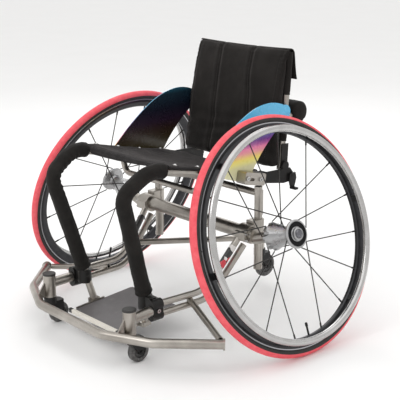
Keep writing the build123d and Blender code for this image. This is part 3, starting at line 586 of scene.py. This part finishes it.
def padded_tube(name, route, size, count, material, body, nodes):
    """A sleeve round a route. size(distance, total, direction from the route) gives its radius."""
    lengths = [0.0]
    for a, b in zip(route, route[1:]):
        lengths.append(lengths[-1] + (b - a).length)
    total = lengths[-1]
    vertices = []
    side = None
    for number, point in enumerate(route):
        ahead = route[min(number + 1, len(route) - 1)] - route[max(number - 1, 0)]
        ahead.normalize()
        if side is None:
            side = ahead.orthogonal().normalized()
        side = (side - ahead * side.dot(ahead)).normalized()
        other = ahead.cross(side)
        for step in range(count):
            turn = 2 * math.pi * step / count
            direction = side * math.cos(turn) + other * math.sin(turn)
            vertices.append(point + direction * size(lengths[number], total, direction))
    faces = rings_to_faces(len(route), count)
    faces.append(tuple(range(count)))
    faces.append(tuple(range((len(route) - 1) * count, len(route) * count)))
    return new_object(name, vertices, faces, material, body, nodes)


# Leg sleeves ------------------------------------------------------------------------------------
RAIL_ROUTE = [at(174, 85, 415.75), at(170, -298, 496.18), at(158, -382, 440), at(137, -299, 150)]
RAIL_BENDS = [0.080, 0.042]
SLEEVE_R = 0.0205


def sleeve_route():
    """The part of the seat rail's line that the foam covers, from the seat to above the clamp."""
    route = rounded_route(RAIL_ROUTE, RAIL_BENDS, 0.003)
    start = at(0, -252, 0).y
    return [p for p in route if p.y < start and p.z > 0.157]


def leg_sleeve(side, sign):
    route = [Vector((p.x * sign, p.y, p.z)) for p in sleeve_route()]
    hollow = at(0, -250, 430)

    def size(along, total, direction):
        ends = min(along, total - along)
        radius = SLEEVE_R - 0.004 * (1 - smooth(ends / 0.006)) ** 2
        # The foam flares and tucks at the foot.
        foot = smooth((along - total + 0.045) / 0.045)
        radius += 0.0022 * foot + 0.0009 * foot * math.sin(along * 420)
        point = route[min(int(along / 0.003), len(route) - 1)]
        inward = direction.dot((hollow - point).normalized())
        # Creases on the inside of the bend, and a looser skin outside it.
        bend = smooth((along - 0.02) / 0.04) * smooth((0.23 - along) / 0.06)
        crease = max(inward, 0) ** 1.5 * bend
        ripple = math.sin(along * 330 + 2.2 * noise.noise(point * 30))
        radius += crease * (0.0013 * ripple - 0.0006)
        radius += 0.0011 * noise.noise(point * 22 + direction * 1.7)
        radius += 0.0006 * noise.noise(point * 70 + direction * 3.1)
        return radius

    piece = padded_tube(
        f"leg_sleeve_{side}", route, size, 48, FOAM, "frame", [f"leg_pad_{side}"]
    )
    return piece


for side, sign in (("left", 1), ("right", -1)):
    leg_sleeve(side, sign)


# Cloth ------------------------------------------------------------------------------------------
def swell(piece, voxel, pressure, frames, cap):
    """Remeshes a closed cloth piece and lets a cloth simulation fill it, within a cap."""
    fine = piece.modifiers.new("remesh", "REMESH")
    fine.mode = "VOXEL"
    fine.voxel_size = voxel
    fine.use_smooth_shade = True
    bake_mesh(piece)
    before = [v.co.copy() for v in piece.data.vertices]
    cloth = piece.modifiers.new("cloth", "CLOTH")
    cloth.settings.quality = 4
    cloth.settings.mass = 0.25
    cloth.settings.tension_stiffness = 12
    cloth.settings.compression_stiffness = 12
    cloth.settings.bending_stiffness = 0.4
    cloth.settings.use_pressure = True
    cloth.settings.uniform_pressure_force = pressure
    cloth.settings.effector_weights.gravity = 0
    cloth.point_cache.frame_start = 1
    cloth.point_cache.frame_end = frames
    for number in range(1, frames + 1):
        bpy.context.scene.frame_set(number)
    bake_mesh(piece)
    for vertex, old in zip(piece.data.vertices, before):
        move = vertex.co - old
        if move.length > cap:
            vertex.co = old + move * (cap / move.length)
    bpy.context.scene.frame_set(1)


def bake_mesh(piece):
    """Applies the piece's modifiers to its mesh."""
    graph = bpy.context.evaluated_depsgraph_get()
    finished = bpy.data.meshes.new_from_object(piece.evaluated_get(graph))
    materials = list(piece.data.materials)
    piece.modifiers.clear()
    piece.data = finished
    if not finished.materials:
        for material in materials:
            finished.materials.append(material)
    for polygon in finished.polygons:
        polygon.use_smooth = True


def surface_of(piece):
    graph = bpy.context.evaluated_depsgraph_get()
    return BVHTree.FromObject(piece, graph)


def stitches(name, paths, body, cast, spacing=0.0058, length=0.0036, radius=0.00042):
    """Rows of short threads laid on a surface; cast drops a point onto it along a direction."""
    vertices, faces = [], []
    ring = 6
    for path, surface, direction in paths:
        lengths = [0.0]
        for a, b in zip(path, path[1:]):
            lengths.append(lengths[-1] + (b - a).length)
        place = 0.003
        while place + length < lengths[-1]:
            ends = []
            for want in (place, place + length):
                index = max(i for i, value in enumerate(lengths) if value <= want)
                index = min(index, len(path) - 2)
                part = (want - lengths[index]) / max(lengths[index + 1] - lengths[index], 1e-6)
                point = path[index].lerp(path[index + 1], part)
                hit = surface.ray_cast(point - direction * cast, direction, cast * 2)
                ends.append((hit[0] - direction * radius * 0.4) if hit[0] else None)
            place += spacing
            if None in ends:
                continue
            ahead = (ends[1] - ends[0]).normalized()
            side = ahead.cross(direction).normalized()
            base = len(vertices)
            for centre, size in ((ends[0], 0.5), (ends[0].lerp(ends[1], 0.5), 1.0), (ends[1], 0.5)):
                for step in range(ring):
                    turn = 2 * math.pi * step / ring
                    offset = side * math.cos(turn) + direction * math.sin(turn)
                    vertices.append(centre + offset * radius * size)
            faces += [
                tuple(base + index for index in face) for face in rings_to_faces(3, ring)
            ]
            faces.append(tuple(base + step for step in range(ring)))
            faces.append(tuple(base + 2 * ring + step for step in range(ring)))
    return new_object(name, vertices, faces, THREAD, body)


# Seat sling -------------------------------------------------------------------------------------
SLING_FRONT = -0.250 + AXLE_Y
SLING_REAR = 0.114 + AXLE_Y
SLING_TUCK = 0.088 + AXLE_Y  # behind this the cloth falls away, clear of the folding back
SLING_COLLAR = 0.052 + AXLE_Y
SLING_HALF = 0.1868
SLING_REAR_HALF = 0.1535
SLING_TOP = 0.0175  # above the rails' plane
SLING_TURN = 0.0150  # radius of the cloth's turn over a rail
SLING_THICKNESS = 0.0030
TUCK_DROP, TUCK_LENGTH = 0.022, 0.026
RAIL_UP = Vector((0, RAIL_SLOPE, 1)).normalized()


def sling_height(across, along):
    """Height of the sling's top above the rails' plane. across is x, along 0 at the front to 1."""
    share = min(abs(across) / 0.160, 1.0)
    sag = 0.0030 + 0.0085 * smooth(along / 0.4) * (1 - 0.75 * smooth((along - 0.72) / 0.26))
    height = SLING_TOP - sag * (1 - share**2.2)
    beyond = abs(across) - RAIL_X
    if beyond > 0:
        height -= SLING_TURN - math.sqrt(max(SLING_TURN**2 - beyond**2, 0))
    where = Vector((across * 7, along * 3.2, 0.4))
    wrinkle = noise.noise(where * 2.0) * 0.0030 + noise.noise(where * 5.5) * 0.0012
    # Tension folds fan out from the screws at the rails.
    for screw_x, screw_s in ((0.176, 0.09), (-0.176, 0.09), (-0.172, 0.52), (0.172, 0.52)):
        offset_x, offset_s = across - screw_x, (along - screw_s) * 0.35
        distance = math.hypot(offset_x, offset_s)
        fan = math.sin(math.atan2(offset_s, offset_x) * 13 + 1.3 * noise.noise(where * 3))
        wrinkle += 0.0016 * fan * math.exp(-((distance - 0.055) ** 2) / 0.0016)
    calm = smooth((0.186 - abs(across)) / 0.02)
    return height + wrinkle * (0.15 + 0.85 * calm) * (0.3 + 0.7 * smooth(along / 0.06))


def seat_sling():
    columns, rows = 96, 100
    vertices, faces = [], []
    for row in range(rows + 1):
        along = row / rows
        y = SLING_FRONT + (SLING_REAR - SLING_FRONT) * along
        # Behind the rails' collars the cloth is cut back to pass between them.
        narrow = smooth((y - SLING_COLLAR + 0.012) / 0.012)
        half = SLING_HALF * (1 - narrow) + SLING_REAR_HALF * narrow
        base = Vector((0, y, rail_z(y)))
        for column in range(columns + 1):
            across = half * (2 * column / columns - 1)
            # A soft roll at the front edge.
            roll = smooth(1 - along * rows / 2.0) * 0.0022 * (1 - (abs(across) / 0.187) ** 6)
            tuck = TUCK_DROP * smooth((y - SLING_TUCK) / TUCK_LENGTH)
            height = sling_height(across, along) - roll - tuck
            vertices.append(base + Vector((across, 0, 0)) + RAIL_UP * height)
    stride = columns + 1
    for row in range(rows):
        for column in range(columns):
            a = row * stride + column
            faces.append((a, a + 1, a + stride + 1, a + stride))
    piece = new_object(
        "seat_cloth", vertices, faces, SEAT_CLOTH, "frame", ["seat_sling"]
    )
    shell = piece.modifiers.new("thickness", "SOLIDIFY")
    shell.thickness = SLING_THICKNESS
    shell.offset = -1
    shell.use_even_offset = True
    bake_mesh(piece)
    return piece


def seat_apron():
    """The front edge of the sling, folded over and hanging in a shallow curve."""
    columns, rows = 90, 14
    vertices, faces = [], []
    base = Vector((0, SLING_FRONT, rail_z(SLING_FRONT)))
    for row in range(rows + 1):
        drop = row / rows
        for column in range(columns + 1):
            share = 2 * column / columns - 1
            across = 0.1795 * share - 0.034 * share**5 * drop
            top = sling_height(across, 0.0) - 0.0028
            bottom = -0.0045 + 0.006 * share**2 + 0.008 * share
            height = top + (bottom - top) * drop
            curl = 0.0045 * math.sin(math.pi * min(drop * 1.4, 1)) + 0.0015
            ripple = 0.0016 * noise.noise(Vector((across * 26, drop * 1.3, 5.2))) * drop
            ripple += 0.0010 * noise.noise(Vector((across * 60, drop * 2.3, 1.2)))
            hem = 0.0008 if 0.70 < drop < 0.95 else 0.0
            forward = curl + ripple + hem
            vertices.append(
                base + Vector((across, -forward, forward * RAIL_SLOPE)) + RAIL_UP * height
            )
    stride = columns + 1
    for row in range(rows):
        for column in range(columns):
            a = row * stride + column
            faces.append((a, a + 1, a + stride + 1, a + stride))
    piece = new_object("seat_apron", vertices, faces, SEAT_CLOTH, "frame")
    shell = piece.modifiers.new("thickness", "SOLIDIFY")
    shell.thickness = 0.0026
    shell.offset = 0
    bake_mesh(piece)
    return piece


seat = seat_sling()
apron = seat_apron()


def seat_screws():
    """Small washers and button heads that hold the cloth to the rails."""
    vertices, faces = [], []
    ring = 20
    profile = [(0.0072, 0.0), (0.0072, 0.0009), (0.0048, 0.0012), (0.0044, 0.0026), (0.0020, 0.0034)]
    for sign in (1, -1):
        for y in (-0.222, -0.145, -0.068, 0.009):
            x = (0.174 - 0.0015) * sign
            place = Vector((x, y + AXLE_Y, rail_z(y + AXLE_Y)))
            along = (y + AXLE_Y - SLING_FRONT) / (SLING_REAR - SLING_FRONT)
            place += RAIL_UP * (sling_height(x, along) - 0.0004)
            base = len(vertices)
            for radius, lift in profile:
                for step in range(ring):
                    turn = 2 * math.pi * step / ring
                    side = Vector((math.cos(turn), math.sin(turn), 0)) * radius
                    side.z = -RAIL_SLOPE * side.y
                    vertices.append(place + side + RAIL_UP * lift)
            faces += [
                tuple(base + index for index in face)
                for face in rings_to_faces(len(profile), ring)
            ]
            faces.append(tuple(base + (len(profile) - 1) * ring + step for step in range(ring)))
            faces.append(tuple(base + step for step in range(ring)))
    new_object("seat_screws", vertices, faces, POLISHED, "frame")


seat_screws()

# Back upholstery --------------------------------------------------------------------------------
BACK_LOW, BACK_TOP = -0.003, 0.322
BACK_VOXEL = 0.005
BACK_PRESSURE = 3.0
BACK_FRAMES = 14
BACK_SWELL = 0.0022  # the most that the simulation may move the cloth


def back_point(x, out, along):
    """A point by x, its distance behind the canes' plane and its height along the canes."""
    return BACK_PIVOT + Vector((x, 0, 0)) + BACK_OUT * out + BACK_DIR * along


# The cushion's thickness ahead of the canes' plane, and its channel seams, by height along the canes.
CUSHION = ((0.0, 0.059), (0.052, 0.054), (0.173, 0.044), (0.262, 0.030), (0.309, 0.018), (0.323, 0.009))
CUSHION_REAR = 0.0112
CUSHION_HALF = 0.1838
CHANNELS = (
    ((0.0, -0.064), (0.033, -0.066), (0.108, -0.060), (0.215, -0.067), (0.320, -0.078)),
    ((0.0, 0.080), (0.142, 0.076), (0.179, 0.072), (0.229, 0.061), (0.320, 0.052)),
)
SIDE_SEAM = 0.1690
CANE_SLEEVE_R = 0.0119
FLAP_HALF = 0.1855
SEAM_TO_STITCH = 0.0052
SLEEVE_BANDS = ((0.068, 0.161), (0.198, 0.316))


def follow(table, along):
    """Reads a table of (height, value) pairs, straight between them."""
    for (a, low), (b, high) in zip(table, table[1:]):
        if along <= b:
            return low + (high - low) * max(along - a, 0) / (b - a)
    return table[-1][1]


def seam_x(number, along):
    return follow(CHANNELS[number], along)


def back_shell():
    """The plain closed form of the cushion, a rounded block ahead of the canes."""
    rows, count, square = 80, 144, 0.26
    vertices = []
    for row in range(rows + 1):
        along = BACK_LOW + (BACK_TOP - BACK_LOW) * row / rows
        front = follow(CUSHION, along)
        front -= 0.010 * (1 - smooth((along - BACK_LOW) / 0.012))
        # Near the top the cushion closes over the canes.
        rear = CUSHION_REAR - 0.0155 * smooth((along - 0.290) / 0.025)
        middle, half_deep = -(front + rear) / 2, (front - rear) / 2
        for step in range(count):
            turn = 2 * math.pi * step / count
            c, s = math.cos(turn), math.sin(turn)
            x = CUSHION_HALF * math.copysign(abs(c) ** square, c)
            out = middle + half_deep * math.copysign(abs(s) ** square, s)
            vertices.append(back_point(x, out, along))
    faces = rings_to_faces(rows + 1, count)
    faces.append(tuple(range(count)))
    faces.append(tuple(range(rows * count, (rows + 1) * count)))
    return new_object(
        "back_cushion", vertices, faces, BACK_CLOTH, "backrest", ["back_upholstery"]
    )


def cane_sleeves():
    """Close cloth sleeves round the canes, with a bare band of cane between them."""
    for side, sign in (("left", 1), ("right", -1)):
        for number, (low, high) in enumerate(SLEEVE_BANDS):
            steps = 40
            route = [
                back_point(RAIL_X * sign, 0, low + (high - low) * step / steps)
                for step in range(steps + 1)
            ]

            def size(along, total, direction, number=number, sign=sign):
                hem = 0.0006 * math.exp(-(((min(along, total - along) - 0.006) / 0.0015) ** 2))
                place = Vector((sign, number, along * 24))
                return CANE_SLEEVE_R - hem + 0.0007 * noise.noise(place + direction * 1.4)

            name = f"cane_sleeve_{side}_{number}"
            padded_tube(name, route, size, 32, BACK_CLOTH, "backrest", ())


def shape_back(piece):
    """Sewn channels, creases and soft folds on the padded back."""
    for vertex in piece.data.vertices:
        offset = vertex.co - BACK_PIVOT
        x, out, along = offset.x, offset.dot(BACK_OUT), offset.dot(BACK_DIR)
        move = 0.0
        front = follow(CUSHION, along)
        if -out > front * 0.55:
            face = smooth((-out / front - 0.55) / 0.3)
            for number in (0, 1):
                gap = abs(x - seam_x(number, along))
                move -= 0.0048 * math.exp(-((gap / 0.0042) ** 2)) * face
                move += 0.0016 * math.exp(-(((gap - 0.013) / 0.008) ** 2)) * face
            edge_gap = abs(abs(x) - SIDE_SEAM)
            move -= 0.0022 * math.exp(-((edge_gap / 0.004) ** 2)) * face
            # Puckers that the seams pull into the cloth.
            near = min(abs(x - seam_x(0, along)), abs(x - seam_x(1, along)), edge_gap)
            pucker = math.sin(along * 520 + 3 * noise.noise(offset * 20))
            move += 0.0007 * pucker * math.exp(-((near - 0.006) ** 2) / 0.00006) * face
            # Soft cross folds low down, where the sitter leans.
            low = math.exp(-(((along - 0.085) / 0.05) ** 2))
            fold = math.sin(along * 150 + x * 14 + 4 * noise.noise(offset * 9))
            move += 0.0018 * low * fold * face
        move += 0.0016 * noise.noise(offset * 17) + 0.0007 * noise.noise(offset * 48)
        vertex.co += vertex.normal * move


def back_flap():
    """The cloth turned over the top that hangs behind the canes."""
    profile = [
        (-0.0065, 0.0000),
        (-0.0020, 0.0032),
        (0.0050, 0.0015),
        (0.0110, -0.006),
        (0.0150, -0.022),
        (0.0185, -0.045),
        (0.0235, -0.066),
        (0.0285, -0.0815),
    ]
    columns = 80
    vertices, faces = [], []
    fine = []
    for a, b in zip(profile, profile[1:]):
        for step in range(4):
            fine.append((a[0] + (b[0] - a[0]) * step / 4, a[1] + (b[1] - a[1]) * step / 4))
    fine.append(profile[-1])
    for number, (out, drop) in enumerate(fine):
        hang = smooth((number - 12) / (len(fine) - 12))
        for column in range(columns + 1):
            share = 2 * column / columns - 1
            x = FLAP_HALF * share
            wave = 0.0035 * noise.noise(Vector((share * 3.1, 0.3, 2.2))) * hang
            wave += 0.0012 * noise.noise(Vector((share * 11, hang * 2, 7.2)))
            # Ahead of the canes the cloth follows the panel's belly.
            ahead = 0.008 * (1 - share**2) * smooth(-out / 0.018)
            dip = -0.0035 * (1 - share**2) * (1 - hang)
            seam = 0.0
            for which in (0, 1):
                gap = abs(x - seam_x(which, BACK_TOP))
                seam += 0.0012 * math.exp(-((gap / 0.004) ** 2)) * (1 - hang)
            vertices.append(back_point(x, out + wave - ahead, BACK_TOP + drop + dip - seam))
    stride = columns + 1
    for row in range(len(fine) - 1):
        for column in range(columns):
            a = row * stride + column
            faces.append((a, a + 1, a + stride + 1, a + stride))
    piece = new_object("back_flap", vertices, faces, BACK_CLOTH, "backrest")
    shell = piece.modifiers.new("thickness", "SOLIDIFY")
    shell.thickness = 0.0026
    shell.offset = 0
    smoother = piece.modifiers.new("round", "SUBSURF")
    smoother.levels = smoother.render_levels = 1
    bake_mesh(piece)
    return piece


back = back_shell()
swell(back, BACK_VOXEL, BACK_PRESSURE, BACK_FRAMES, BACK_SWELL)
shape_back(back)
finer = back.modifiers.new("finer", "SUBSURF")
finer.levels = finer.render_levels = 1
bake_mesh(back)
flap = back_flap()
cane_sleeves()


def back_stitches():
    surface = surface_of(back)
    paths = []
    for number in (0, 1):
        for beside in (-SEAM_TO_STITCH, SEAM_TO_STITCH):
            path = [
                back_point(seam_x(number, s) + beside, -0.02, s)
                for s in [0.012 + 0.296 * step / 60 for step in range(61)]
            ]
            paths.append((path, surface, BACK_OUT))
    for sign in (1, -1):
        path = [back_point(0.1645 * sign, -0.02, 0.02 + 0.285 * step / 50) for step in range(51)]
        paths.append((path, surface, BACK_OUT))
    stitches("back_stitches", paths, "backrest", 0.045)


back_stitches()


def seat_stitches():
    surface = surface_of(seat)
    down = -RAIL_UP
    paths = []
    for sign in (1, -1):
        path = []
        for step in range(61):
            y = SLING_FRONT + 0.012 + (SLING_COLLAR - SLING_FRONT - 0.03) * step / 60
            path.append(Vector((0.1585 * sign, y, rail_z(y))) + RAIL_UP * 0.012)
        paths.append((path, surface, down))
    path = [
        Vector((x, SLING_FRONT + 0.011, rail_z(SLING_FRONT + 0.011))) + RAIL_UP * 0.01
        for x in [-0.15 + 0.3 * step / 60 for step in range(61)]
    ]
    paths.append((path, surface, down))
    stitches("seat_stitches", paths, "frame", 0.04)


seat_stitches()

# Push bar roll ----------------------------------------------------------------------------------
ROLL_CENTRE = at(0, 236, 580)
ROLL_HALF = 0.188
ROLL_R = 0.0305


def roll_route():
    steps = 120
    return [ROLL_CENTRE + Vector((ROLL_HALF * (2 * step / steps - 1), 0, 0)) for step in range(steps + 1)]


def roll_size(along, total, direction):
    ends = min(along, total - along)
    radius = ROLL_R * math.sqrt(max(1 - (1 - min(ends / 0.012, 1)) ** 2 * 0.62, 0.05))
    point = Vector((along, 0, 0))
    radius += 0.0013 * noise.noise(point * 18 + direction * 1.5)
    radius += 0.0006 * noise.noise(point * 60 + direction * 3.0)
    # The cover's seam runs along the back, with small puckers beside it.
    seam = math.acos(max(-1.0, min(1.0, direction.dot(Vector((0, 0.6, -0.8))))))
    radius -= 0.0016 * math.exp(-((seam / 0.07) ** 2))
    radius += 0.0004 * math.sin(along * 600) * math.exp(-(((seam - 0.2) / 0.12) ** 2))
    # Straps that hold the roll to its bar.
    for place in (0.09, 0.278):
        radius -= 0.0018 * math.exp(-(((along - place) / 0.006) ** 2))
    return radius


roll = padded_tube(
    "push_roll", roll_route(), roll_size, 64, FOAM, "backrest", ["push_bar_pad"]
)


# Stage ------------------------------------------------------------------------------------------
def plain_floor():
    mesh = bpy.data.meshes.new("floor")
    mesh.from_pydata([(-40, -40, 0), (40, -40, 0), (40, 40, 0), (-40, 40, 0)], [], [(0, 1, 2, 3)])
    floor = bpy.data.objects.new("floor", mesh)
    bpy.context.scene.collection.objects.link(floor)
    m = Shade("floor_paper", Roughness=0.9)
    m.colour(m.mix(m.noise(3, 2), (0.90, 0.90, 0.90), (0.93, 0.93, 0.93)))
    mesh.materials.append(m.material)


def soft_light(name, place, aim, size, power):
    lamp = bpy.data.lights.new(name, "AREA")
    lamp.shape = "RECTANGLE"
    lamp.size, lamp.size_y = size
    lamp.energy = power
    thing = bpy.data.objects.new(name, lamp)
    bpy.context.scene.collection.objects.link(thing)
    thing.location = place
    thing.rotation_euler = (Vector(aim) - Vector(place)).to_track_quat("-Z", "Y").to_euler()


def studio():
    world = bpy.data.worlds.new("studio")
    world.use_nodes = True
    world.node_tree.nodes["Background"].inputs[0].default_value = (1.0, 0.995, 0.985, 1)
    world.node_tree.nodes["Background"].inputs[1].default_value = 0.92
    bpy.context.scene.world = world
    soft_light("overhead", (0.2, 0.1, 3.6), (0, 0, 0), (5.0, 5.0), 45)
    soft_light("key", (-0.2, -2.6, 2.6), (0, 0, 0.3), (1.6, 1.2), 16)
    soft_light("rim", (-2.2, 1.9, 2.2), (0, 0, 0.4), (1.2, 1.2), 12)


# Camera: the angles are azimuth, elevation and roll in degrees ----------------------------------
CAMERA_AZ, CAMERA_EL, CAMERA_ROLL = 48.6238, 15.4731, -0.3536
CAMERA_PLACE = Vector((2.09191, -1.82509 + AXLE_Y, 1.09702))
CAMERA_FOCAL = 1002.05 / 400  # in image widths


def camera():
    az, el, roll = (math.radians(v) for v in (CAMERA_AZ, CAMERA_EL, CAMERA_ROLL))
    back = Vector((math.sin(az) * math.cos(el), -math.cos(az) * math.cos(el), math.sin(el)))
    right = Vector((math.cos(az), math.sin(az), 0))
    up = back.cross(right)
    right, up = (
        right * math.cos(roll) + up * math.sin(roll),
        up * math.cos(roll) - right * math.sin(roll),
    )
    data = bpy.data.cameras.new("camera")
    data.sensor_width = 36
    data.lens = CAMERA_FOCAL * data.sensor_width
    eye = bpy.data.objects.new("camera", data)
    bpy.context.scene.collection.objects.link(eye)
    eye.matrix_world = Matrix.Translation(CAMERA_PLACE) @ Matrix((right, up, back)).transposed().to_4x4()
    bpy.context.scene.camera = eye


plain_floor()
studio()
camera()
bpy.context.scene.view_settings.view_transform = "Standard"
